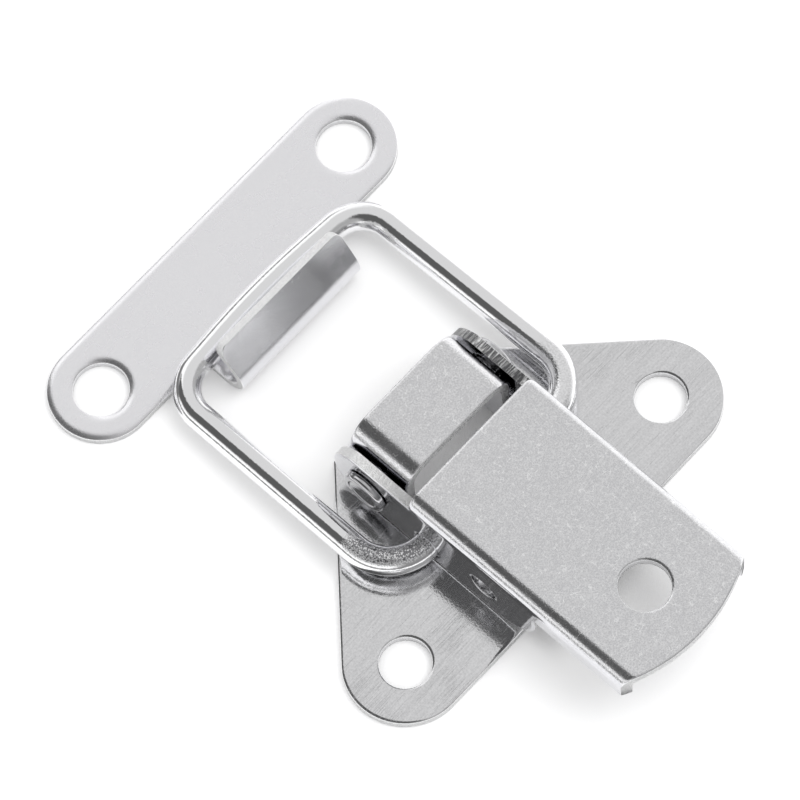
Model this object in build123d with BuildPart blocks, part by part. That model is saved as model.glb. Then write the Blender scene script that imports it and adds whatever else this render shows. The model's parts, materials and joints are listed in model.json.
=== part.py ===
from build123d import *
from math import cos, radians, sqrt
import os

os.makedirs("parts", exist_ok=True)

# Over-centre toggle latch, closed, in millimetres.
# Frame: z = 0 is the mounting face, the origin is midway between the two screw holes of the
# base plate, +X runs along the latch towards the lever's tail and Y runs across it.

# Stock
sheet = 1.2  # thickness of the three pressed pieces
bend_inside = 0.5  # inside radius of the tight folds
wire = 3.0  # diameter of the bail's wire
running_gap = 0.05  # radial clearance of a pin or wire that turns in a punched hole
side_gap = 0.4  # space between the bridge and the lever's walls, and below those walls

# Base plate: two flat wings joined by a hat-shaped bridge
base_screw_pitch = 38.0
base_screw_hole = 5.4
wing_end_radius = 6.4
bridge_width = 15.2
bridge_height = 11.9
bridge_length = 10.0
bridge_fold_inside = 1.7  # inside radius of the two folds at the bridge's top
bridge_setback = 2.25  # how far the bridge's top stands back from the front of its feet
slant_start = 0.55  # height above the wing where the front edges of the bridge start to slant
relief_slit = 1.0  # slit between the bridge and the tongue that runs on below the lever
relief_depth = 0.5
tongue_reach = 1.2  # how far the tongues pass in below the bridge's walls

# Lever: a channel whose walls run on past its top as two ears, hung on the rivets
pivot_back = 6.05  # from the front of the bridge's feet to the rivets
pivot_height = 6.3
lever_height = 12.3
lever_front_gap = 1.75  # from the back of the bridge to the front edge of the lever's top
lever_tip = 22.35
lever_tip_radius = 19.0
deep_wall_end = 8.6
heel_radius = 5.5
flange_depth = 3.7  # depth of the shallow walls under the tail
flange_root_radius = 1.5
ear_root_radius = 0.4
tail_hole = 5.4
tail_hole_inset = 7.35
lock_hole = 3.2
lock_hole_x = 1.6
lock_hole_z = 5.7
bail_pivot_reach = 7.9  # from the rivets back to the bail's ends
bail_pivot_drop = 2.0  # how far the bail's ends lie below the rivets

# Rivets
rivet = 3.0
rivet_head = 5.2
rivet_head_height = 0.8
rivet_rim = 0.35  # bevel round the head
rivet_tail = 4.2
rivet_tail_height = 0.7

# Strike plate: an obround plate with a hook folded up from its edge
strike_screw_pitch = 36.2
strike_screw_hole = 5.8
strike_width = 11.1
strike_x = -42.95
hook_width = 17.5
hook_straight = 2.7  # from the plate's edge to the start of the fold
hook_gap = 0.3  # space round the bail's bar when it is drawn into the fold
hook_turn = 124.0
hook_lip = 4.1
hook_corner = 1.0

# Bail: one wire bent into a rectangle that is open at the lever
bail_front_width = 28.0
bail_back_width = 28.5
bail_slack = 1.9  # from the bar's ends to the place where they would lie drawn into the fold
bail_bow = 1.0  # rise of the bar's two straight slopes towards its middle
bow_radius = 90.0
bail_front_radius = 4.2
bail_tip_gap = 0.3  # between the wire's ends and the bridge
bail_tip_straight = 1.35  # straight wire at each end, held by the lever's wall
bail_tip_chamfer = 0.3

# Places that follow from the dimensions above
bend_outside = bend_inside + sheet
bend_middle = bend_inside + sheet / 2
bridge_fold_outside = bridge_fold_inside + sheet
bridge_fold_middle = bridge_fold_inside + sheet / 2
base_screw_y = base_screw_pitch / 2
bridge_half = bridge_width / 2
bridge_inner = bridge_half - sheet
bend_line = bridge_half + bend_inside
bridge_front = bend_line - base_screw_y - wing_end_radius * sqrt(2)
bridge_back = bridge_front + bridge_length
bridge_top_front = bridge_front + bridge_setback
tongue_front = bridge_back + relief_slit
tongue_inner = bridge_half - tongue_reach
pivot_x = bridge_front + pivot_back
rivet_hole_radius = rivet / 2 + running_gap
ear_top = lever_height - bend_outside
ear_bottom = sheet + side_gap
ear_radius = pivot_height - ear_bottom
ear_front = pivot_x - ear_radius
ear_top_front = pivot_x - sqrt(ear_radius**2 - (ear_top - pivot_height) ** 2)
lever_half = bridge_half + side_gap + sheet
lever_front = bridge_back + lever_front_gap
tail_hole_x = lever_tip - tail_hole_inset
flange_bottom = lever_height - flange_depth
bail_pivot_x = pivot_x + bail_pivot_reach
bail_pivot_z = pivot_height - bail_pivot_drop
bail_tip_y = bridge_half + bail_tip_gap
bail_back_radius = bail_back_width / 2 - bail_tip_y - bail_tip_straight
strike_screw_y = strike_screw_pitch / 2
strike_edge = strike_x + strike_width / 2
hook_inside = wire / 2 + hook_gap
hook_axis_x = strike_edge + hook_straight
hook_axis_z = sheet + hook_inside
bar_x = hook_axis_x - bail_slack
bar_z = hook_axis_z

# ---------------------------------------------------------------- base plate
with BuildPart() as base_plate:
    # The bridge is a ribbon of sheet folded four times, seen from the front.
    with BuildSketch(Plane.YZ.offset(bridge_front)):
        with BuildLine() as fold_line:
            foot_fold = JernArc((bend_line, sheet / 2), (-1, 0), bend_middle, -90)
            wall_top = bridge_height - bridge_fold_outside
            wall = Line(foot_fold @ 1, (bridge_half - sheet / 2, wall_top))
            top_fold = JernArc(wall @ 1, (0, 1), bridge_fold_middle, 90)
            Line(top_fold @ 1, (0, bridge_height - sheet / 2))
            mirror(about=Plane.YZ)
        trace(fold_line.edges(), line_width=sheet)
    extrude(amount=bridge_length)

    # Its front edges slant back from the feet to the top.
    with BuildSketch(Plane.XZ):
        with BuildLine():
            Polyline(
                (bridge_front - sheet, sheet + slant_start),
                (bridge_front, sheet + slant_start),
                (bridge_top_front, wall_top),
                (bridge_top_front, bridge_height + sheet),
                (bridge_front - sheet, bridge_height + sheet),
                close=True,
            )
        make_face()
    extrude(amount=bridge_half, both=True, mode=Mode.SUBTRACT)

    # Each wing is rounded about its screw hole. Its front edge runs at 45 degrees from that
    # round to the bridge, and its back edge runs straight in to a tongue below the lever.
    with BuildSketch() as wings:
        with BuildLine():
            slope = wing_end_radius * cos(radians(45))
            front_edge = Line((bridge_front, bend_line), (-slope, base_screw_y + slope))
            end_round = ThreePointArc(
                front_edge @ 1,
                (0, base_screw_y + wing_end_radius),
                (wing_end_radius, base_screw_y),
            )
            Polyline(
                end_round @ 1,
                (wing_end_radius, tongue_inner),
                (tongue_front, tongue_inner),
                (tongue_front, bend_line + relief_depth),
                (bridge_back, bend_line + relief_depth),
                (bridge_back, bend_line),
                (bridge_front, bend_line),
            )
        make_face()
        with Locations((0, base_screw_y)):
            Circle(base_screw_hole / 2, mode=Mode.SUBTRACT)
        mirror(about=Plane.XZ)
    extrude(amount=sheet)

    with BuildSketch(Plane.XZ):
        with Locations((pivot_x, pivot_height)):
            Circle(rivet_hole_radius)
    extrude(amount=bridge_width, both=True, mode=Mode.SUBTRACT)

base_plate.part.label = "base_plate"
export_step(base_plate.part, "parts/base_plate.step")

# --------------------------------------------------------------------- lever
with BuildPart() as lever:
    # A long block with an arched tail, its long top edges folded, is hollowed to the sheet.
    tail_side_x = lever_tip - lever_tip_radius + sqrt(lever_tip_radius**2 - lever_half**2)
    with BuildSketch(Plane.XY.offset(ear_bottom)):
        with BuildLine():
            sides = Polyline(
                (tail_side_x, lever_half),
                (ear_front, lever_half),
                (ear_front, -lever_half),
                (tail_side_x, -lever_half),
            )
            ThreePointArc(sides @ 1, (lever_tip, 0), sides @ 0)
        make_face()
    extrude(amount=lever_height - ear_bottom)
    top_face = lever.faces().sort_by(Axis.Z)[-1]
    long_edges = top_face.edges().sort_by(SortBy.LENGTH)[-2:]
    fillet(long_edges, radius=bend_outside)
    bottom_face = lever.faces().sort_by(Axis.Z)[0]
    front_face = lever.faces().sort_by(Axis.X)[0]
    tail_face = lever.faces().sort_by(Axis.X)[-1]
    offset(amount=-sheet, openings=[bottom_face, front_face, tail_face])

    # Side view: ears ahead of the top, deep walls behind them, shallow walls under the tail.
    with BuildSketch(Plane.XZ) as side_view:
        with BuildLine():
            ear_round = ThreePointArc(
                (pivot_x, ear_bottom),
                (ear_front, pivot_height),
                (ear_top_front, ear_top),
            )
            Polyline(
                ear_round @ 1,
                (lever_front, ear_top),
                (lever_front, lever_height),
                (lever_tip, lever_height),
                (lever_tip, flange_bottom),
                (deep_wall_end, flange_bottom),
                (deep_wall_end, ear_bottom),
                ear_round @ 0,
            )
        make_face()
        heel = side_view.vertices().sort_by_distance((deep_wall_end, ear_bottom))[0]
        flange_root = side_view.vertices().sort_by_distance((deep_wall_end, flange_bottom))[0]
        ear_root = side_view.vertices().sort_by_distance((lever_front, ear_top))[0]
        fillet(heel, radius=heel_radius)
        fillet(flange_root, radius=flange_root_radius)
        fillet(ear_root, radius=ear_root_radius)
    extrude(amount=2 * bridge_width, both=True, mode=Mode.INTERSECT)

    # Holes through both walls: the rivets, the bail's ends and a small lock.
    with BuildSketch(Plane.XZ):
        with Locations((pivot_x, pivot_height)):
            Circle(rivet_hole_radius)
        with Locations((bail_pivot_x, bail_pivot_z)):
            Circle(wire / 2 + running_gap)
        with Locations((lock_hole_x, lock_hole_z)):
            Circle(lock_hole / 2)
    extrude(amount=bridge_width, both=True, mode=Mode.SUBTRACT)

    with Locations((tail_hole_x, 0, lever_height)):
        Hole(tail_hole / 2, depth=2 * sheet)

lever.part.label = "lever"
export_step(lever.part, "parts/lever.step")

# ---------------------------------------------------------------------- bail
# The bent wire lies in one plane, which slopes from the lever's walls down to the bar.
bail_length = sqrt((bail_pivot_x - bar_x) ** 2 + (bail_pivot_z - bar_z) ** 2)
bail_plane = Plane(
    origin=(bail_pivot_x, 0, bail_pivot_z),
    x_dir=(bar_x - bail_pivot_x, 0, bar_z - bail_pivot_z),
    z_dir=(bail_pivot_z - bar_z, 0, bar_x - bail_pivot_x),
)
with BuildPart() as bail:
    with BuildLine(bail_plane) as wire_path:
        FilletPolyline(
            (0, bail_tip_y),
            (0, bail_back_width / 2),
            (bail_length, bail_front_width / 2),
            (bail_length + bail_bow, 0),
            (bail_length, -bail_front_width / 2),
            (0, -bail_back_width / 2),
            (0, -bail_tip_y),
            radius=[bail_back_radius, bail_front_radius, bow_radius, bail_front_radius, bail_back_radius],
        )
    with BuildSketch(Plane(wire_path.line @ 0, z_dir=wire_path.line % 0)):
        Circle(wire / 2)
    sweep(path=wire_path.line)
    wire_ends = bail.faces().filter_by(GeomType.PLANE)
    chamfer(wire_ends.edges(), length=bail_tip_chamfer)

bail.part.label = "bail"
export_step(bail.part, "parts/bail.step")

# -------------------------------------------------------------- strike plate
with BuildPart() as strike_plate:
    with BuildSketch():
        with Locations((strike_x, 0)):
            SlotCenterToCenter(strike_screw_pitch, strike_width, rotation=90)
            with GridLocations(0, strike_screw_pitch, 1, 2):
                Circle(strike_screw_hole / 2, mode=Mode.SUBTRACT)
    extrude(amount=sheet)

    # The hook leaves the plate's edge, folds up round the bar's place and leans back over it.
    with BuildSketch(Plane.XZ):
        with BuildLine() as hook_line:
            tab = Line((strike_x, sheet / 2), (hook_axis_x, sheet / 2))
            fold = JernArc(tab @ 1, (1, 0), hook_inside + sheet / 2, hook_turn)
            PolarLine(fold @ 1, hook_lip, direction=fold % 1)
        trace(hook_line.edges(), line_width=sheet)
    extrude(amount=hook_width / 2, both=True)

    # Small rounds where the hook leaves the plate and at the corners of its lip.
    upright_edges = strike_plate.edges().filter_by(Axis.Z)
    hook_roots = upright_edges.sort_by_distance((hook_axis_x, 0, sheet / 2))[:2]
    fillet(hook_roots, radius=hook_corner)
    lip_face = strike_plate.faces().sort_by(Axis.Z)[-1]
    fillet(lip_face.edges().sort_by(SortBy.LENGTH)[:2], radius=hook_corner)

strike_plate.part.label = "strike_plate"
export_step(strike_plate.part, "parts/strike_plate.step")

# -------------------------------------------------------------------- rivets
# Each one is a headed pin, clenched inside the bridge wall, with its head outside the ear.
head_seat = lever_half + 2 * running_gap
for side, name in ((1, "rivet_left"), (-1, "rivet_right")):
    with BuildPart() as rivet_pin:
        with BuildSketch(Plane((pivot_x, 0, pivot_height), z_dir=(0, 0, 1))):
            with BuildLine():
                Polyline(
                    (0, side * (bridge_inner - rivet_tail_height)),
                    (rivet_tail / 2, side * (bridge_inner - rivet_tail_height)),
                    (rivet_tail / 2, side * bridge_inner),
                    (rivet / 2, side * bridge_inner),
                    (rivet / 2, side * head_seat),
                    (rivet_head / 2, side * head_seat),
                    (rivet_head / 2, side * (head_seat + rivet_head_height)),
                    (0, side * (head_seat + rivet_head_height)),
                    close=True,
                )
            make_face()
        revolve(axis=Axis((pivot_x, 0, pivot_height), (0, 1, 0)))
        end_faces = rivet_pin.faces().filter_by(Plane.XZ).sort_by(Axis.Y)
        outer_face = end_faces[-1] if side > 0 else end_faces[0]
        chamfer(outer_face.edges(), length=rivet_rim)
    rivet_pin.part.label = name
    export_step(rivet_pin.part, f"parts/{name}.step")
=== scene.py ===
import json
import math
import bmesh
import bpy
from mathutils import Matrix, Vector
from mathutils.bvhtree import BVHTree
from mathutils.geometry import tessellate_polygon


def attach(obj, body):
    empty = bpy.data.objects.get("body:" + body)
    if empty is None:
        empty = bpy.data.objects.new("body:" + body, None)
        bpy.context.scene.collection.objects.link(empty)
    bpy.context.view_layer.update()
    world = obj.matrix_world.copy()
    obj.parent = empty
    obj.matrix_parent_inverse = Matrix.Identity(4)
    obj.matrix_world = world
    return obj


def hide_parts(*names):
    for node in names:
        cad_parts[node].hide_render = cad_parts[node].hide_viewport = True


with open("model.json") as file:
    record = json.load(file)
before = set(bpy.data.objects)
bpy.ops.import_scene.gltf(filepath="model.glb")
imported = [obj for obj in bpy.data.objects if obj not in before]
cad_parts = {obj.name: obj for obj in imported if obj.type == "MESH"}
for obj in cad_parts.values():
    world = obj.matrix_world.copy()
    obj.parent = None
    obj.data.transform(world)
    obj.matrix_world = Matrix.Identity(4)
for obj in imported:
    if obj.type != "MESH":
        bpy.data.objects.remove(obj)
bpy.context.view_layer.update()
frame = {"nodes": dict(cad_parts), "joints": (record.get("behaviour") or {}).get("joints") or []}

# Over-centre toggle latch: three pressed pieces dressed from the model's own meshes, the bail's
# wire and the pair of rivets, each with a procedural metal. Lengths are in metres, in the frame
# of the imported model.
MM = 0.001

# Sizes and places on the latch, as in its CAD model
SHEET = 1.2 * MM
WIRE = 3.0 * MM
BRIDGE_INNER = 6.4 * MM  # from the middle plane to the inside of the bridge's walls
LEVER_HALF = 9.2 * MM  # from the middle plane to the outside of the lever's walls
BAR = Vector((-36.6, 0, 3.0)) * MM  # the middle of the bail's bar, before it bows
HOOK_FOLD = -34.7 * MM  # where the strike's hook starts to fold up
joint_places = {joint["name"]: joint.get("pos_m") for joint in frame["joints"]}
PIVOT = Vector(joint_places["lever_hinge"])  # the rivets' axis
BAIL_PIVOT = Vector(joint_places["bail_hinge"])  # the axis of the bail's turned-in ends

# Sizes of the finish
RAISED = 2.5 * MM  # above this, a sheet has the finish of its bridge, or on the strike's hook a darker painted shade
UPRIGHT = 0.85  # sideways share of the normal above which a sheet counts as a wall
WIDEST_HOLE = 6.0 * MM
BLUNTED_EDGE = 0.06 * MM  # the small round along both sides of a cut
BLUNTED_STEPS = 2
SHARP_CUT = math.radians(30)  # a cut that meets its sheet at more than this is blunted
ROLL_STEPS = (0.12, 0.18, 0.28, 0.42)  # shares of the width over which the die rolls a cut's edge
ROLL_DEPTH = 0.3  # how deep the rolled edge sinks, for its width
LONGEST_STEP = 1.8  # how far a corner may move in, for one step's width
NARROW_ROLL, WIDE_ROLL = 0.42 * MM, 0.9 * MM  # wide on the strike, narrow on the other pieces
LINE_BELOW = 10 * MM  # how far the line that tells a sheet's shown side lies below the latch
SHARP_TURNING = math.radians(50)  # edges of a rivet that turn more than this aren't smoothed

# Small distances for telling faces apart
PROBE = 0.01 * MM
THICKNESS_MARGIN = 0.12 * MM
SAME_POINT = 0.002 * MM
SAME_PLANE = math.radians(0.5)


# ------------------------------------------------------------------ node helpers
def add(tree, kind, settings=None, **sockets):
    """Adds a node, gives it its settings and fills its inputs with values or links. An input is
    named with _ for a space, or numbered as _0. A Mix node takes its mask at 0, two values at 2
    and 3 or two colours at 6 and 7."""
    node = tree.nodes.new(kind)
    for name, value in (settings or {}).items():
        setattr(node, name, value)
    for name, value in sockets.items():
        key = int(name[1:]) if name[1:].isdigit() else name.replace("_", " ")
        if isinstance(value, bpy.types.NodeSocket):
            tree.links.new(value, node.inputs[key])
        else:
            node.inputs[key].default_value = value
    return node


def calc(tree, operation, a, b=0.0, clamp=False):
    """One sum on two values or sockets; gives back its result."""
    settings = {"operation": operation, "use_clamp": clamp}
    return add(tree, "ShaderNodeMath", settings, _0=a, _1=b).outputs[0]


def product(tree, first, *others):
    """All the values or sockets multiplied."""
    for other in others:
        first = calc(tree, "MULTIPLY", first, other)
    return first


def total(tree, first, *others):
    """All the values or sockets added up."""
    for other in others:
        first = calc(tree, "ADD", first, other)
    return first


def largest(tree, first, *others):
    """The largest of the values or sockets."""
    for other in others:
        first = calc(tree, "MAXIMUM", first, other)
    return first


def ramp(tree, value, low, high, at_low=0.0, at_high=1.0):
    """A smooth step of value between low and high."""
    node = add(
        tree, "ShaderNodeMapRange", {"interpolation_type": "SMOOTHSTEP"},
        _0=value, _1=low, _2=high, _3=at_low, _4=at_high,
    )
    return node.outputs[0]


def blend_value(tree, mask, a, b):
    """Goes from a to b as mask goes from 0 to 1."""
    return add(tree, "ShaderNodeMix", {"data_type": "FLOAT"}, _0=mask, _2=a, _3=b).outputs[0]


def noise(tree, vector, scale, detail=2.0, roughness=0.5):
    """A plain noise round one half."""
    node = add(
        tree, "ShaderNodeTexNoise", Vector=vector, Scale=scale, Detail=detail, Roughness=roughness
    )
    return node.outputs["Fac"]


def stretch(tree, vector, x, y, z):
    """Coordinates with a scale of their own along each axis."""
    scale = add(tree, "ShaderNodeCombineXYZ", X=x, Y=y, Z=z)
    settings = {"operation": "MULTIPLY"}
    return add(tree, "ShaderNodeVectorMath", settings, _0=vector, _1=scale.outputs[0]).outputs[0]


def turn_in_plan(tree, vector, angle):
    """Coordinates turned about the vertical."""
    settings = {"rotation_type": "Z_AXIS"}
    return add(tree, "ShaderNodeVectorRotate", settings, Vector=vector, Angle=angle).outputs[0]


def split_axes(tree, vector):
    """The X, Y and Z of a vector, by name."""
    return add(tree, "ShaderNodeSeparateXYZ", Vector=vector).outputs


def new_group(name, inputs, outputs):
    """An empty shader group with named sockets; gives what it takes in and what it puts out."""
    group = bpy.data.node_groups.new(name, "ShaderNodeTree")
    for socket_name, kind, default in inputs:
        socket = group.interface.new_socket(socket_name, in_out="INPUT", socket_type=kind)
        if default is not None:
            socket.default_value = default
    for socket_name, kind in outputs:
        group.interface.new_socket(socket_name, in_out="OUTPUT", socket_type=kind)
    given = group.nodes.new("NodeGroupInput").outputs
    return group, given, group.nodes.new("NodeGroupOutput").inputs


FLOAT, VECTOR = "NodeSocketFloat", "NodeSocketVector"


# ------------------------------------------------------------------ finishes shared by materials
def make_rolled_grain():
    """Fine streaks that the rolls left in the sheet, long one way and short the other."""
    group, given, out = new_group(
        "rolled_grain",
        [("Vector", VECTOR, None), ("Streaks per mm", FLOAT, 6.0), ("Stretch", FLOAT, 14.0)],
        [("Grain", FLOAT)],
    )
    across = calc(group, "MULTIPLY", given["Streaks per mm"], 1 / MM)
    along = calc(group, "DIVIDE", across, given["Stretch"])
    streaks = stretch(group, given["Vector"], across, along, across)
    fine = noise(group, streaks, 1.0, detail=3.0, roughness=0.65)
    broad = noise(group, streaks, 0.23)
    group.links.new(blend_value(group, 0.35, fine, broad), out["Grain"])
    return group


def make_tumbled_speckle():
    """Tiny dull dimples from tumbling, with softer patches where they lie closer."""
    group, given, out = new_group(
        "tumbled_speckle",
        [("Vector", VECTOR, None), ("Dimple size", FLOAT, 0.22 * MM)],
        [("Speckle", FLOAT), ("Patches", FLOAT)],
    )
    where = given["Vector"]
    scale = calc(group, "DIVIDE", 1.0, given["Dimple size"])
    dimples = add(
        group, "ShaderNodeTexVoronoi", {"feature": "SMOOTH_F1"},
        Vector=where, Scale=scale, Smoothness=0.6,
    )
    dust = noise(group, where, scale, detail=4.0, roughness=0.7)
    group.links.new(blend_value(group, 0.45, dust, dimples.outputs["Distance"]), out["Speckle"])
    patches = noise(group, where, product(group, scale, 0.055))
    group.links.new(ramp(group, patches, 0.35, 0.65), out["Patches"])
    return group


def make_tumbling_marks():
    """Short fine curls that tumbling leaves: the thin lines along which a noise has one level,
    broken up by another noise."""
    level = 0.55
    group, given, out = new_group(
        "tumbling_marks",
        [("Vector", VECTOR, None), ("Spacing", FLOAT, 0.9 * MM), ("Width", FLOAT, 0.022)],
        [("Marks", FLOAT)],
    )
    scale = calc(group, "DIVIDE", 1.0, given["Spacing"])
    curls = noise(group, given["Vector"], scale, detail=1.5)
    off_line = calc(group, "ABSOLUTE", calc(group, "SUBTRACT", curls, level))
    line = calc(group, "SUBTRACT", 1.0, calc(group, "DIVIDE", off_line, given["Width"]), clamp=True)
    gaps = noise(group, given["Vector"], product(group, scale, 1.7))
    group.links.new(product(group, line, ramp(group, gaps, 0.47, 0.57)), out["Marks"])
    return group


def make_straight_scratches():
    """Straight scratches that all run one way in plan, closer together in some patches. A scratch
    shows where a stretched noise is over a threshold, which the patches lower."""
    threshold, lowered_by, steepness = 0.71, 0.12, 16.0
    patches_per_metre = 140.0
    sizes = [("Turn", FLOAT, 0.0), ("Width", FLOAT, 0.035 * MM), ("Length", FLOAT, 3.5 * MM)]
    group, given, out = new_group(
        "straight_scratches", [("Vector", VECTOR, None), *sizes], [("Scratch", FLOAT)]
    )
    along = calc(group, "DIVIDE", 1.0, given["Length"])
    across = calc(group, "DIVIDE", 1.0, given["Width"])
    turned = turn_in_plan(group, given["Vector"], given["Turn"])
    streaks = noise(group, stretch(group, turned, along, across, along), 1.0, detail=1.0)
    patches = noise(group, given["Vector"], patches_per_metre)
    closeness = ramp(group, patches, 0.45, 0.65, 0.0, lowered_by)
    over = calc(group, "SUBTRACT", streaks, calc(group, "SUBTRACT", threshold, closeness))
    group.links.new(calc(group, "MULTIPLY", over, steepness, clamp=True), out["Scratch"])
    return group


def make_scored_line():
    """One straight scratch from a start point, a given way and length, in plan."""
    place_and_size = [
        ("Start", VECTOR, (0.0, 0.0, 0.0)),
        ("Turn", FLOAT, 0.0),
        ("Length", FLOAT, 5 * MM),
        ("Width", FLOAT, 0.06 * MM),
    ]
    group, given, out = new_group(
        "scored_line", [("Vector", VECTOR, None), *place_and_size], [("Scratch", FLOAT)]
    )
    settings = {"operation": "SUBTRACT"}
    shifted = add(group, "ShaderNodeVectorMath", settings, _0=given["Vector"], _1=given["Start"])
    turned = turn_in_plan(group, shifted.outputs[0], calc(group, "MULTIPLY", given["Turn"], -1.0))
    axes = split_axes(group, turned)
    side = calc(group, "DIVIDE", calc(group, "ABSOLUTE", axes["Y"]), given["Width"])
    thin = calc(group, "SUBTRACT", 1.0, side, clamp=True)
    after = calc(group, "GREATER_THAN", axes["X"], 0.0)
    before = calc(group, "LESS_THAN", axes["X"], given["Length"])
    group.links.new(product(group, thin, after, before), out["Scratch"])
    return group


rolled_grain = make_rolled_grain()
tumbled_speckle = make_tumbled_speckle()
tumbling_marks = make_tumbling_marks()
straight_scratches = make_straight_scratches()
scored_line = make_scored_line()


def place(tree, group, vector, **values):
    """Puts a shared finish into a material with its own values; gives back its outputs."""
    node = tree.nodes.new("ShaderNodeGroup")
    node.node_tree = group
    tree.links.new(vector, node.inputs["Vector"])
    for name, value in values.items():
        node.inputs[name.replace("_", " ")].default_value = value
    return node.outputs


def lay_scores(tree, where, marks, scores, strength):
    """Lays single scratches over the marks of a finish."""
    for start, turn, length in scores:
        score = place(tree, scored_line, where, Start=start, Turn=turn, Length=length)
        marks = largest(tree, marks, product(tree, score["Scratch"], strength))
    return marks


def new_metal(name, metallic=1.0):
    """A bare metal: a Principled shader on its output, and the piece's own coordinates."""
    material = bpy.data.materials.new(name)
    material.use_nodes = True
    tree = material.node_tree
    tree.nodes.clear()
    shader = tree.nodes.new("ShaderNodeBsdfPrincipled")
    shader.inputs["Metallic"].default_value = metallic
    output = tree.nodes.new("ShaderNodeOutputMaterial")
    tree.links.new(shader.outputs["BSDF"], output.inputs["Surface"])
    where = tree.nodes.new("ShaderNodeTexCoord").outputs["Object"]
    return material, tree, shader, where


def tint(tree, shader, mask, dark, light):
    """Base colour between two greys by a mask."""
    node = add(tree, "ShaderNodeMix", {"data_type": "RGBA"}, _0=mask, _6=(*dark, 1), _7=(*light, 1))
    tree.links.new(node.outputs[2], shader.inputs["Base Color"])


def roughen(tree, shader, *parts):
    """Roughness as the sum of its parts."""
    tree.links.new(total(tree, *parts), shader.inputs["Roughness"])


def relief(tree, shader, height, depth):
    """Bump from a height of 0 to 1."""
    bump = add(tree, "ShaderNodeBump", Strength=1.0, Distance=depth, Height=height)
    tree.links.new(bump.outputs["Normal"], shader.inputs["Normal"])


# ------------------------------------------------------------------ materials
def make_tumbled_sheet(name, dark, light, roughness, depth, curls, scores=()):
    """Satin pressed sheet: tumbled speckle with fine curled marks, and a few longer scores."""
    material, tree, shader, where = new_metal(name)
    dimples = place(tree, tumbled_speckle, where, Dimple_size=0.15 * MM)
    grain = place(tree, rolled_grain, where, Streaks_per_mm=7.0, Stretch=3.0)["Grain"]
    marks = lay_scores(tree, where, place(tree, tumbling_marks, where)["Marks"], scores, 1.6)
    texture = blend_value(tree, 0.35, dimples["Speckle"], grain)
    shade = product(tree, ramp(tree, texture, 0.36, 0.64), 0.6)
    lit = calc(tree, "ADD", shade, product(tree, marks, curls), clamp=True)
    tint(tree, shader, lit, dark, light)
    dull = product(tree, dimples["Patches"], 0.05)
    roughen(tree, shader, dull, product(tree, marks, 0.16 * curls), roughness)
    height = calc(tree, "SUBTRACT", texture, product(tree, marks, 0.13 * curls))
    relief(tree, shader, height, depth)
    return material


def make_brushed_sheet(name, dark, light, roughness, depth, turn, scores=()):
    """Bright sheet with the mill's fine grain one way and straight scratches along it."""
    material, tree, shader, where = new_metal(name)
    grain = place(tree, rolled_grain, where, Streaks_per_mm=7.0, Stretch=30.0)["Grain"]
    dimples = place(tree, tumbled_speckle, where)
    scratch = place(tree, straight_scratches, where, Turn=turn)["Scratch"]
    scratch = lay_scores(tree, where, scratch, scores, 1.5)
    cut_in = product(tree, scratch, 0.9)
    texture = blend_value(tree, 0.5, dimples["Speckle"], grain)
    kept = calc(tree, "SUBTRACT", ramp(tree, texture, 0.3, 0.7), cut_in, clamp=True)
    tint(tree, shader, kept, dark, light)
    dull = product(tree, dimples["Patches"], 0.03)
    roughen(tree, shader, dull, product(tree, scratch, 0.1), roughness)
    relief(tree, shader, calc(tree, "SUBTRACT", texture, cut_in), depth)
    return material


def make_sheared(name):
    """The torn side of a cut, speckled all round, with short dark and bright striations straight
    across the sheet on the far ear."""
    material, tree, shader, where = new_metal(name, metallic=0.25)
    axes = split_axes(tree, where)
    torn = product(
        tree,
        ramp(tree, axes["Y"], 6.0 * MM, 8.0 * MM, 0.1, 1.0),
        ramp(tree, axes["Z"], 1.5 * MM, 2.5 * MM),
        ramp(tree, axes["X"], -26.0 * MM, -24.0 * MM),
    )
    stripes = place(tree, rolled_grain, where, Streaks_per_mm=13.0, Stretch=22.0)["Grain"]
    dimples = place(tree, tumbled_speckle, where, Dimple_size=0.14 * MM)
    speckle = ramp(tree, dimples["Speckle"], 0.25, 0.7)
    scored = product(tree, ramp(tree, stripes, 0.46, 0.52), torn)
    worn = total(tree, 0.7, product(tree, speckle, 0.3))
    kept = calc(tree, "SUBTRACT", worn, scored, clamp=True)
    tint(tree, shader, kept, (0.12, 0.12, 0.125), (0.98, 0.98, 0.98))
    roughen(tree, shader, 0.28, product(tree, speckle, 0.14))
    relief(tree, shader, calc(tree, "SUBTRACT", speckle, product(tree, scored, 2.0)), 0.05 * MM)
    return material


def make_rim(name, dark, light):
    """The smooth polished face of a round or of a punched hole; the hole's copy is given darker
    greys as painted shade.
    """
    material, tree, shader, where = new_metal(name)
    speckle = place(tree, tumbled_speckle, where, Dimple_size=0.16 * MM)["Speckle"]
    shade = ramp(tree, speckle, 0.3, 0.7)
    tint(tree, shader, shade, dark, light)
    roughen(tree, shader, 0.1, product(tree, shade, 0.08))
    relief(tree, shader, speckle, 0.01 * MM)
    return material


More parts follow.
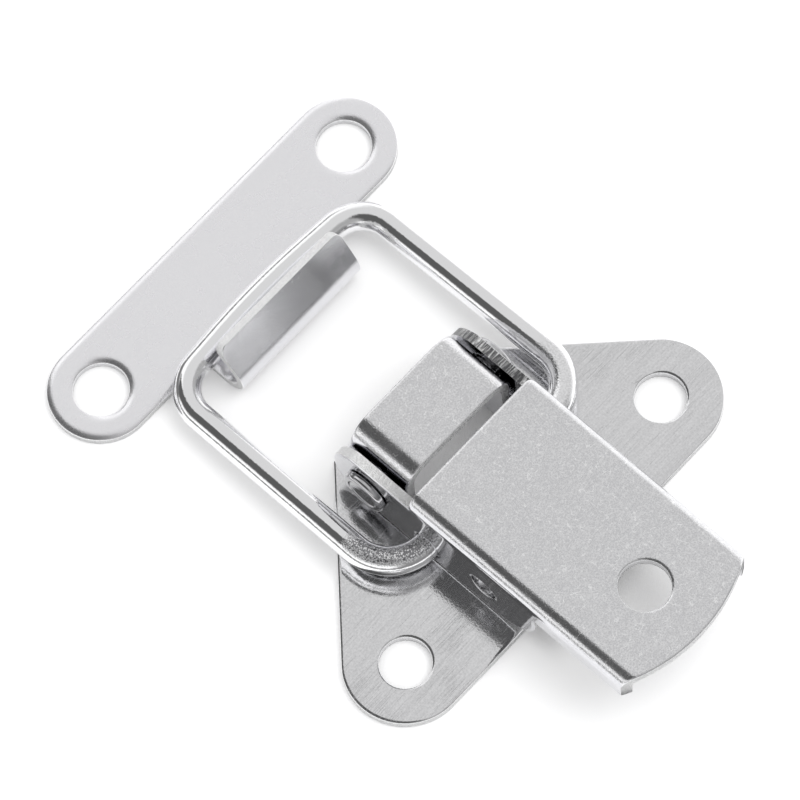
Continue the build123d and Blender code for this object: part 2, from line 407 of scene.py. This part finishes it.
def make_wire(name):
    """Bright drawn wire: nearly a mirror, crazed on the upper side of its tight corners, and more
    so on the near side than on the far one."""
    material, tree, shader, where = new_metal(name)
    dimples = place(tree, tumbled_speckle, where, Dimple_size=0.3 * MM)
    craze = place(tree, tumbled_speckle, where, Dimple_size=0.17 * MM)["Speckle"]
    stored = tree.nodes.new("ShaderNodeAttribute")
    stored.attribute_name = "bend"
    facing = split_axes(tree, tree.nodes.new("ShaderNodeTexCoord").outputs["Normal"])
    crazed = product(
        tree,
        ramp(tree, stored.outputs["Fac"], 0.97, 1.0),
        ramp(tree, split_axes(tree, where)["Y"], -5 * MM, 5 * MM, 1.0, 0.15),
        ramp(tree, facing["Z"], 0.7, 0.92),
        ramp(tree, craze, 0.42, 0.58),
    )
    shade = calc(tree, "SUBTRACT", 1.0, crazed, clamp=True)
    tint(tree, shader, shade, (0.3, 0.3, 0.31), (0.9, 0.9, 0.91))
    roughen(tree, shader, 0.04, product(tree, dimples["Patches"], 0.03), product(tree, crazed, 0.1))
    pitted = product(tree, craze, total(tree, 0.08, product(tree, dimples["Patches"], 0.22)))
    height = total(tree, product(tree, dimples["Speckle"], 0.16), pitted, crazed)
    relief(tree, shader, height, 0.04 * MM)
    return material


def make_rivet_steel(name):
    """Turned and tumbled rivet: faint rings round the pin's axis, soft small dents."""
    ring_pitch = 0.17 * MM
    material, tree, shader, where = new_metal(name)
    settings = {"vector_type": "POINT"}
    centred = add(tree, "ShaderNodeMapping", settings, Vector=where, Location=tuple(-PIVOT))
    axes = split_axes(tree, centred.outputs[0])
    across = add(tree, "ShaderNodeCombineXYZ", X=axes["X"], Z=axes["Z"]).outputs[0]
    radius = add(tree, "ShaderNodeVectorMath", {"operation": "LENGTH"}, _0=across).outputs["Value"]
    rings = calc(tree, "SINE", product(tree, radius, 2 * math.pi / ring_pitch))
    rings = total(tree, 0.5, product(tree, rings, 0.5))
    speckle = place(tree, tumbled_speckle, where, Dimple_size=0.25 * MM)["Speckle"]
    shade = blend_value(tree, 0.3, speckle, rings)
    tint(tree, shader, shade, (0.4, 0.4, 0.41), (0.66, 0.66, 0.67))
    roughen(tree, shader, 0.04, product(tree, shade, 0.06))
    relief(tree, shader, shade, 0.004 * MM)
    return material


# Single scores on a finish: where each starts, which way it runs and how long it is
WING_SCORES = [
    (Vector((-13.2, -14.4, 1.2)) * MM, math.radians(-86), 4.4 * MM),
    (Vector((-3.4, 17.2, 1.2)) * MM, math.radians(70), 2.6 * MM),
]
TOP_SCORES = [
    (Vector((10.2, -5.6, 12.3)) * MM, math.radians(60), 1.1 * MM),
    (Vector((13.6, -8.6, 12.3)) * MM, math.radians(88), 1.0 * MM),
]

brushed_wing = make_brushed_sheet(
    "brushed_wing", dark=(0.69, 0.69, 0.7), light=(0.87, 0.87, 0.88),
    roughness=0.085, depth=0.012 * MM, turn=math.radians(-90), scores=WING_SCORES,
)
polished_wall = make_brushed_sheet(
    "polished_wall", dark=(0.64, 0.64, 0.66), light=(0.76, 0.76, 0.78),
    roughness=0.05, depth=0.005 * MM, turn=0.0,
)
satin_top = make_tumbled_sheet(
    "satin_top", dark=(0.66, 0.66, 0.675), light=(0.98, 0.98, 0.985),
    roughness=0.15, depth=0.025 * MM, curls=0.75, scores=TOP_SCORES,
)
pale_strike = make_tumbled_sheet(
    "pale_strike", dark=(0.93, 0.925, 0.95), light=(0.99, 0.985, 1.0),
    roughness=0.24, depth=0.016 * MM, curls=0.2,
)
# The strike's hook: the strike's finish in darker greys, painted shade on its bent-up face
hook_painted_shade = make_tumbled_sheet(
    "hook_painted_shade", dark=(0.7, 0.7, 0.72), light=(0.84, 0.84, 0.86),
    roughness=0.22, depth=0.012 * MM, curls=0.05,
)
sheared_steel = make_sheared("sheared_steel")
polished_rim = make_rim("polished_rim", dark=(0.84, 0.84, 0.85), light=(0.95, 0.95, 0.95))
# Inside holes: the rim's finish in darker greys, painted shade in the hole
bore_painted_shade = make_rim("bore_painted_shade", dark=(0.5, 0.5, 0.51), light=(0.7, 0.7, 0.71))
drawn_wire = make_wire("drawn_wire")
rivet_steel = make_rivet_steel("rivet_steel")


# ------------------------------------------------------------------ pressed pieces
# Material slots of a pressed piece, in order
FLAT_SHEET, SHEARED, ROUND, RAISED_SHEET, BORE, WALL = range(6)


def widest_triangle(face):
    """The largest of the triangles that fill a face."""
    points = [loop.vert.co.copy() for loop in face.loops]
    corners = [[points[i] for i in three] for three in tessellate_polygon([points])]
    return max(corners, key=lambda three: (three[1] - three[0]).cross(three[2] - three[0]).length)


def middle_of(face):
    """A point that lies on the face, also where the face has a bay in it."""
    return sum(widest_triangle(face), Vector()) / 3


def is_rolled(face, solid):
    """True on the sheet's own surface, where its other side lies one thickness behind."""
    hit = solid.ray_cast(middle_of(face) - face.normal * PROBE, -face.normal)
    return bool(hit[0]) and abs(hit[3] + PROBE - SHEET) < THICKNESS_MARGIN


def is_bore(face, solid):
    """True in a hole, where a cut looks across at another part of the same piece."""
    hit = solid.ray_cast(middle_of(face) + face.normal * PROBE, face.normal, WIDEST_HOLE)
    return bool(hit[0])


def roll_cut_edges(form, faces, solid, width):
    """Rolls a sheet's surface over towards its cuts, as the die leaves it, in a few steps."""
    depth = width * ROLL_DEPTH
    share_left = 1.0
    kept = set(faces)
    for share in ROLL_STEPS:
        step = width * share
        start, sink = {}, {}  # by rim point: where it was, and how far it goes down
        inside = {v for face in kept for v in face.verts}
        for v in {v for v in inside if any(f not in kept for f in v.link_faces)}:
            around = [f.normal * f.calc_area() for f in v.link_faces if f in kept]
            start[v] = v.co.copy()
            sink[tuple(v.co)] = sum(around, Vector()).normalized() * depth * share_left**2
        ring = bmesh.ops.inset_region(
            form, faces=list(kept), thickness=step, use_even_offset=True, use_boundary=True
        )
        ring_verts = {v for face in ring["faces"] for v in face.verts}
        inner = {v for face in kept for v in face.verts}
        for v in ring_verts - inner:
            v.co -= sink.get(tuple(v.co), Vector())
        for v in ring_verts & inner:
            old = start.get(v, v.co)
            move = v.co - old
            if move.length > LONGEST_STEP * step:
                move *= LONGEST_STEP * step / move.length
            v.co = solid.find_nearest(old + move)[0]
        share_left -= share


def dress_sheet(node, body, sheet_material, raised_material, roll, outside):
    """A copy of a pressed piece whose cuts stand apart from its sheet and have rolled edges on
    the side that shows."""
    mesh = frame["nodes"][node].data.copy()
    mesh.materials.clear()
    for material in (
        sheet_material, sheared_steel, polished_rim, raised_material, bore_painted_shade, polished_wall
    ):
        mesh.materials.append(material)
    form = bmesh.new()
    form.from_mesh(mesh)
    bmesh.ops.remove_doubles(form, verts=form.verts, dist=SAME_POINT)
    bmesh.ops.dissolve_limit(form, angle_limit=SAME_PLANE, verts=form.verts, edges=form.edges)
    form.normal_update()
    solid = BVHTree.FromBMesh(form)
    for face in form.faces:
        face.smooth = True
        cut = BORE if is_bore(face, solid) else SHEARED
        face.material_index = FLAT_SHEET if is_rolled(face, solid) else cut
    sheet = [face for face in form.faces if face.material_index == FLAT_SHEET]
    shown = [face for face in sheet if face.normal.dot(outside(face)) > 0]
    roll_cut_edges(form, shown, solid, roll)
    form.normal_update()
    # Upright faces take the wall finish, faces above RAISED the raised one, which on the strike's
    # hook is painted shade
    for face in form.faces:
        if face.material_index != FLAT_SHEET:
            continue
        if abs(face.normal.y) > UPRIGHT:
            face.material_index = WALL
        elif face.calc_center_median().z > RAISED:
            face.material_index = RAISED_SHEET

    weight = form.edges.layers.float.new("bevel_weight_edge")
    for edge in form.edges:
        kinds = {face.material_index in (SHEARED, BORE) for face in edge.link_faces}
        if len(kinds) == 2 and edge.calc_face_angle() > SHARP_CUT:
            edge[weight] = 1.0
    form.to_mesh(mesh)
    form.free()

    piece = bpy.data.objects.new(node + "_dressed", mesh)
    bpy.context.scene.collection.objects.link(piece)
    blunt = piece.modifiers.new("blunted_edges", "BEVEL")
    blunt.limit_method = "WEIGHT"
    blunt.width = BLUNTED_EDGE
    blunt.segments = BLUNTED_STEPS
    blunt.material = ROUND
    flats = piece.modifiers.new("flat_faces", "WEIGHTED_NORMAL")
    flats.mode = "FACE_AREA"
    flats.weight = 100
    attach(piece, body)
    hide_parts(node)


def away_from_underside(face):
    """From a line below the latch out through a face: the side that the base and lever show."""
    middle = face.calc_center_median()
    return Vector((0, middle.y, middle.z + LINE_BELOW))


def towards_bar(face):
    """Up from the strike's plate, and from its hook in towards the bail's bar."""
    middle = face.calc_center_median()
    if middle.x < HOOK_FOLD:
        return Vector((0, 0, 1))
    return Vector((HOOK_FOLD - middle.x, 0, BAR.z - middle.z))


dress_sheet(
    "base_plate", "base",
    brushed_wing, satin_top, NARROW_ROLL, away_from_underside,
)
dress_sheet(
    "lever", "lever",
    satin_top, satin_top, NARROW_ROLL, away_from_underside,
)
dress_sheet(
    "strike_plate", "strike",
    pale_strike, hook_painted_shade, WIDE_ROLL, towards_bar,
)


# ------------------------------------------------------------------ bent wire and turned rivets
INTEGER, MATERIAL, GEOMETRY = "NodeSocketInt", "NodeSocketMaterial", "NodeSocketGeometry"
AXIS_WELD = 0.004 * MM  # points of a turned piece this close on its axis become one


def line_object(name, points, attributes):
    """A mesh of points joined in a row, with a value for each point under each attribute name."""
    mesh = bpy.data.meshes.new(name)
    mesh.from_pydata([tuple(p) for p in points], [(i, i + 1) for i in range(len(points) - 1)], [])
    for attribute, values in attributes.items():
        layer = mesh.attributes.new(attribute, "FLOAT", "POINT")
        layer.data.foreach_set("value", values)
    thing = bpy.data.objects.new(name, mesh)
    bpy.context.scene.collection.objects.link(thing)
    return thing


def new_geometry_tree(name, inputs):
    """An empty geometry tree with a Geometry socket each way and named sizes."""
    tree = bpy.data.node_groups.new(name, "GeometryNodeTree")
    tree.interface.new_socket("Geometry", in_out="INPUT", socket_type=GEOMETRY)
    keys = {}
    for socket_name, kind in inputs:
        socket = tree.interface.new_socket(socket_name, in_out="INPUT", socket_type=kind)
        keys[socket_name] = socket.identifier
    tree.interface.new_socket("Geometry", in_out="OUTPUT", socket_type=GEOMETRY)
    given = tree.nodes.new("NodeGroupInput").outputs
    return tree, given, tree.nodes.new("NodeGroupOutput").inputs, keys


def stored_value(tree, name):
    """A number that each point of the line carries under a name."""
    settings = {"data_type": "FLOAT"}
    return add(tree, "GeometryNodeInputNamedAttribute", settings, Name=name).outputs[0]


def round_corners(tree, line, steps, limit):
    """The line as a curve, each corner rounded by the radius stored at it."""
    curve = add(tree, "GeometryNodeMeshToCurve", Mesh=line).outputs[0]
    radius = stored_value(tree, "corner_radius")
    fillet = add(
        tree, "GeometryNodeFilletCurve", {"mode": "POLY"},
        Curve=curve, Count=steps, Radius=radius, Limit_Radius=limit,
    )
    return fillet.outputs[0]


def circle(tree, steps, radius):
    """A round curve in the ground plane."""
    return add(tree, "GeometryNodeCurvePrimitiveCircle", Resolution=steps, Radius=radius).outputs[0]


def finish_tree(tree, geometry, material, out):
    """Smooth faces, real geometry and the material close every tree."""
    smooth = add(tree, "GeometryNodeSetShadeSmooth", Geometry=geometry)
    real = add(tree, "GeometryNodeRealizeInstances", Geometry=smooth.outputs[0])
    painted = add(tree, "GeometryNodeSetMaterial", Geometry=real.outputs[0], Material=material)
    tree.links.new(painted.outputs[0], out["Geometry"])


def run_tree(thing, tree, keys, values, name):
    """Runs a tree on a piece's line and gives the plain mesh that comes out, in a new object."""
    modifier = thing.modifiers.new("build", "NODES")
    modifier.node_group = tree
    for socket_name, value in values.items():
        modifier[keys[socket_name]] = value
    evaluated = thing.evaluated_get(bpy.context.evaluated_depsgraph_get())
    mesh = bpy.data.meshes.new_from_object(evaluated)
    mesh.name = name
    piece = bpy.data.objects.new(name, mesh)
    bpy.context.scene.collection.objects.link(piece)
    bpy.data.objects.remove(thing)
    return piece


def make_bent_wire():
    """Wire swept along a line whose corners are rounded by the radius stored at each."""
    sizes = [("Wire radius", FLOAT), ("Corner steps", INTEGER), ("Round steps", INTEGER)]
    tree, given, out, keys = new_geometry_tree("bent_wire", [*sizes, ("Material", MATERIAL)])
    rounded = round_corners(tree, given["Geometry"], given["Corner steps"], limit=False)
    taper = stored_value(tree, "end_taper")
    thick = add(tree, "GeometryNodeSetCurveRadius", Curve=rounded, Radius=taper).outputs[0]
    profile = circle(tree, given["Round steps"], given["Wire radius"])
    swept = add(tree, "GeometryNodeCurveToMesh", Curve=thick, Profile_Curve=profile, Fill_Caps=True)
    finish_tree(tree, swept.outputs[0], given["Material"], out)
    return tree, keys


def make_turned_rivet():
    """A half profile turned about the pin's axis, set once on each side of the bridge."""
    sizes = [("Spin radius", FLOAT), ("Turns", INTEGER), ("Rim steps", INTEGER), ("Pivot", VECTOR)]
    tree, given, out, keys = new_geometry_tree("turned_rivet", [*sizes, ("Material", MATERIAL)])
    rounded = round_corners(tree, given["Geometry"], given["Rim steps"], limit=True)
    path = circle(tree, given["Turns"], given["Spin radius"])
    turned = add(tree, "GeometryNodeCurveToMesh", Curve=path, Profile_Curve=rounded).outputs[0]
    closed = add(tree, "GeometryNodeMergeByDistance", Geometry=turned, Distance=AXIS_WELD)
    pivots = add(
        tree, "GeometryNodeMeshLine", {"mode": "OFFSET"},
        Count=2, Start_Location=given["Pivot"], Offset=(0, 0, 0),
    )
    index = add(tree, "GeometryNodeInputIndex").outputs[0]
    lean = total(tree, product(tree, index, math.pi), -math.pi / 2)
    angles = add(tree, "ShaderNodeCombineXYZ", X=lean).outputs[0]
    rotation = add(tree, "FunctionNodeEulerToRotation", Euler=angles).outputs[0]
    pair = add(
        tree, "GeometryNodeInstanceOnPoints",
        Points=pivots.outputs[0], Instance=closed.outputs[0], Rotation=rotation,
    )
    finish_tree(tree, pair.outputs[0], given["Material"], out)
    return tree, keys


# The bail lies in one plane through the lever's holes and the bar; its line is drawn in that
# plane as distance from the holes and distance from the middle, then laid in place.
down_slope = (BAR - BAIL_PIVOT).normalized()
bail_reach = (BAR - BAIL_PIVOT).length
TIP_GAP = 0.3 * MM  # between the wire's ends and the bridge
TIP = BRIDGE_INNER + SHEET + TIP_GAP
TIP_CHAMFER, TIP_SHARE = 0.3 * MM, 0.8  # the end's chamfer, and the share of its thickness left
BACK_HALF, BACK_CORNER = 14.25 * MM, 5.0 * MM
FRONT_HALF, FRONT_CORNER = 14.0 * MM, 4.2 * MM
BOW, BOW_RADIUS = 1.0 * MM, 90 * MM  # the bar's slight curve away from the lever
TIGHT, EASY, STRAIGHT = 1, 0.6, 0
half_line = [  # along, across, corner radius, share of the wire's thickness, how tight a bend
    (0, TIP, 0, TIP_SHARE, EASY),
    (0, TIP + TIP_CHAMFER, 0, 1, EASY),
    (0, BACK_HALF, BACK_CORNER, 1, TIGHT),
    (bail_reach, FRONT_HALF, FRONT_CORNER, 1, EASY),
]
far_half = [(x, -y, *rest) for x, y, *rest in reversed(half_line)]
bail_line = half_line + [(bail_reach + BOW, 0, BOW_RADIUS, 1, STRAIGHT)] + far_half
bail_points = [BAIL_PIVOT + down_slope * x + Vector((0, y, 0)) for x, y, *rest in bail_line]
radii, shares, bends = zip(*(rest for x, y, *rest in bail_line))
wire_line = line_object(
    "bail_line", bail_points, {"corner_radius": radii, "end_taper": shares, "bend": bends}
)
wire_tree, wire_keys = make_bent_wire()
wire_sizes = {
    "Wire radius": WIRE / 2,
    "Corner steps": 28,
    "Round steps": 48,
    "Material": drawn_wire,
}
bail = run_tree(wire_line, wire_tree, wire_keys, wire_sizes, "bail_wire")
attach(bail, "bail")
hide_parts("bail")

# Half profile of a rivet: distance from the pin's axis, distance out from the latch's middle, and
# the radius of the corner there. The head's face is a shallow dish.
SPIN = 1.0 * MM  # the profile is swept along a circle of this radius
PIN_RADIUS, TAIL_RADIUS, HEAD_RADIUS = 1.5 * MM, 2.1 * MM, 2.6 * MM
TAIL_HEIGHT, HEAD_GAP, HEAD_HEIGHT = 0.7 * MM, 0.1 * MM, 0.8 * MM
TAIL_FACE = BRIDGE_INNER - TAIL_HEIGHT
HEAD_SEAT = LEVER_HALF + HEAD_GAP
HEAD_FACE = HEAD_SEAT + HEAD_HEIGHT
DISH_RIM, DISH_RADIUS = 1.85 * MM, 1.7 * MM
DISH_DEPTH, DISH_MIDDLE = 0.12 * MM, 0.06 * MM
rivet_profile = [
    (0, TAIL_FACE, 0),
    (TAIL_RADIUS, TAIL_FACE, 0.3 * MM),
    (TAIL_RADIUS, BRIDGE_INNER, 0),
    (PIN_RADIUS, BRIDGE_INNER, 0),
    (PIN_RADIUS, HEAD_SEAT, 0),
    (HEAD_RADIUS, HEAD_SEAT, 0.1 * MM),
    (HEAD_RADIUS, HEAD_FACE, 0.38 * MM),
    (DISH_RIM, HEAD_FACE, 0.3 * MM),
    (DISH_RADIUS, HEAD_FACE - DISH_DEPTH, 0.3 * MM),
    (0, HEAD_FACE - DISH_MIDDLE, 0),
]
rivet_points = [(radius - SPIN, out, 0) for radius, out, corner in rivet_profile]
rivet_corners = [corner for radius, out, corner in rivet_profile]
rivet_line = line_object("rivet_line", rivet_points, {"corner_radius": rivet_corners})
rivet_tree, rivet_keys = make_turned_rivet()
rivet_sizes = {
    "Spin radius": SPIN,
    "Turns": 72,
    "Rim steps": 6,
    "Pivot": tuple(PIVOT),
    "Material": rivet_steel,
}
rivets = run_tree(rivet_line, rivet_tree, rivet_keys, rivet_sizes, "rivets")
shape = bmesh.new()
shape.from_mesh(rivets.data)
bmesh.ops.recalc_face_normals(shape, faces=shape.faces)
shape.to_mesh(rivets.data)
shape.free()
rivets.data.set_sharp_from_angle(angle=SHARP_TURNING)
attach(rivets, "base")
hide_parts("rivet_left", "rivet_right")


# ------------------------------------------------------------------ stage, lamp and camera
def make_floor_paper():
    """White paper. Where it is seen it glows a little, less so below the latch as a painted shadow,
    and a reflection that looks along it to the south finds it dim, as a painted dark reflection. It
    hands little light on to other faces, being dark grey for bounced light: painted shade on the
    latch's undersides."""
    material = bpy.data.materials.new("floor_paper")
    material.use_nodes = True
    tree = material.node_tree
    tree.nodes.clear()
    spot = split_axes(tree, tree.nodes.new("ShaderNodeTexCoord").outputs["Object"])
    # Painted shadow: below the latch the paper's glow falls from 0.2 to 0.04
    painted_shadow_under_latch = product(
        tree,
        ramp(tree, spot["X"], -19 * MM, -15 * MM),
        ramp(tree, spot["X"], 12 * MM, 8 * MM),
        ramp(tree, calc(tree, "ABSOLUTE", spot["Y"]), 9.5 * MM, 7.5 * MM),
    )
    matt = add(tree, "ShaderNodeBsdfDiffuse", Color=(0.96, 0.96, 0.965, 1)).outputs[0]
    strength = blend_value(tree, painted_shadow_under_latch, 0.2, 0.04)
    glow = add(tree, "ShaderNodeEmission", Color=(1, 1, 1, 1), Strength=strength).outputs[0]
    lit = add(tree, "ShaderNodeAddShader", _0=matt, _1=glow).outputs[0]
    rays = tree.nodes.new("ShaderNodeLightPath").outputs
    seen = largest(tree, rays["Is Camera Ray"], rays["Is Glossy Ray"], rays["Is Transmission Ray"])
    shown = add(tree, "ShaderNodeMixShader", _0=seen, _1=matt, _2=lit).outputs[0]
    # Dark grey paper for bounced light and for grazing reflections to the south: painted shade and
    # a painted dark reflection
    dim = add(tree, "ShaderNodeBsdfDiffuse", Color=(0.35, 0.35, 0.35, 1)).outputs[0]
    handed_on = calc(tree, "GREATER_THAN", rays["Diffuse Depth"], 0.5)
    slant = add(tree, "ShaderNodeLayerWeight", Blend=0.5).outputs["Facing"]
    to_south = ramp(tree, spot["Y"], 10 * MM, 0.0)
    painted_dark_grazing = product(tree, rays["Is Glossy Ray"], ramp(tree, slant, 0.86, 0.95), to_south)
    painted_shade_share = largest(tree, handed_on, painted_dark_grazing)
    face = add(tree, "ShaderNodeMixShader", _0=painted_shade_share, _1=shown, _2=dim).outputs[0]
    add(tree, "ShaderNodeOutputMaterial", Surface=face)
    return material


# How bright the metal finds each part of the studio
CEILING, WHITE_SIDE = 0.74, 1.15
BEHIND_CAMERA, LOW_BEHIND = 0.25, 0.28
DARK_GAP, HORIZON = 0.11, 0.2
SOFT_LIGHT = 0.85  # what the studio gives to matt faces
BACKDROP = 1.0  # what the camera sees past the floor


def make_studio():
    """The room that the metal mirrors: a grey ceiling, white to the west and the south, a thin
    white line to the north, grey behind the camera and below it, one dark gap between overhead
    and the south, and a dark horizon everywhere but in the north. Each ramp runs from where a
    part begins to where it is full, in parts of a unit direction."""
    world = bpy.data.worlds.new("studio")
    bpy.context.scene.world = world
    world.use_nodes = True
    tree = world.node_tree
    tree.nodes.clear()
    east, north, up = split_axes(tree, tree.nodes.new("ShaderNodeTexCoord").outputs["Generated"])
    flat = calc(tree, "SQRT", total(tree, product(tree, north, north), product(tree, up, up)))
    # Lean is 0 overhead, 1 level with the south and -1 level with the north.
    lean = calc(tree, "DIVIDE", product(tree, north, -1.0), largest(tree, flat, 0.001))

    white_side = largest(
        tree,
        ramp(tree, east, -0.55, -0.75),
        ramp(tree, lean, 0.85, 0.93),
        ramp(tree, lean, -0.93, -0.99),
    )
    behind_camera = product(tree, ramp(tree, east, 0.35, 0.6), ramp(tree, up, 0.35, 0.6), 0.65)
    low_behind = product(tree, ramp(tree, east, 0.62, 0.85), ramp(tree, up, 0.6, 0.3))
    dark_gap = product(
        tree,
        ramp(tree, lean, 0.1, 0.2),
        ramp(tree, lean, 0.8, 0.93, 1.0, 0.0),
        ramp(tree, east, -0.95, -0.84),
        ramp(tree, east, 0.3, 0.6, 1.0, 0.0),
        calc(tree, "GREATER_THAN", up, 0.0),
    )
    west = product(tree, ramp(tree, east, -0.72, -0.86), ramp(tree, up, 0.45, 0.3))
    low = largest(tree, ramp(tree, up, 0.16, 0.08), west)
    horizon = product(tree, low, ramp(tree, lean, -0.95, -0.7))

    mirrored = blend_value(tree, white_side, CEILING, WHITE_SIDE)
    mirrored = blend_value(tree, behind_camera, mirrored, BEHIND_CAMERA)
    mirrored = blend_value(tree, low_behind, mirrored, LOW_BEHIND)
    mirrored = blend_value(tree, dark_gap, mirrored, DARK_GAP)
    mirrored = blend_value(tree, horizon, mirrored, HORIZON)
    rays = tree.nodes.new("ShaderNodeLightPath").outputs
    level = blend_value(tree, rays["Is Glossy Ray"], SOFT_LIGHT, mirrored)
    direct = largest(tree, rays["Is Camera Ray"], rays["Is Transmission Ray"])
    level = blend_value(tree, direct, level, BACKDROP)
    background = add(tree, "ShaderNodeBackground", Color=(1, 1, 1, 1), Strength=level)
    add(tree, "ShaderNodeOutputWorld", Surface=background.outputs[0])


bpy.ops.mesh.primitive_plane_add(size=3)
floor = bpy.context.object
floor.name = "floor"
floor.data.materials.append(make_floor_paper())
make_studio()

# One broad lamp high behind the lever's tail lays soft shadows towards the strike. The metal
# doesn't mirror it.
lamp_data = bpy.data.lights.new("softbox", "AREA")
lamp_data.shape = "DISK"
lamp_data.size = 0.7
lamp_data.energy = 3.8
softbox = bpy.data.objects.new("softbox", lamp_data)
bpy.context.scene.collection.objects.link(softbox)
softbox.location = (0.3, 0.3, 1.0)
softbox.rotation_euler = softbox.location.to_track_quat("Z", "Y").to_euler()
softbox.visible_glossy = False

# The camera looks down at the near corner of the latch through a long lens.
TARGET = Vector((-18.3, 0.25, 5)) * MM
AZIMUTH, ELEVATION, ROLL = math.radians(49.18), math.radians(68.33), math.radians(-6.9)
DISTANCE = 0.6034
level_share = math.cos(ELEVATION)
to_camera = Vector(
    (math.sin(AZIMUTH) * level_share, -math.cos(AZIMUTH) * level_share, math.sin(ELEVATION))
)
camera_data = bpy.data.cameras.new("camera")
camera_data.sensor_width = 36
camera_data.lens = 270.26
camera = bpy.data.objects.new("camera", camera_data)
bpy.context.scene.collection.objects.link(camera)
camera.rotation_mode = "QUATERNION"
aim = (-to_camera).to_track_quat("-Z", "Y")
camera.rotation_quaternion = aim @ Matrix.Rotation(ROLL, 3, "Z").to_quaternion()
camera.location = TARGET + to_camera * DISTANCE
bpy.context.scene.camera = camera
bpy.context.scene.view_settings.view_transform = "Standard"
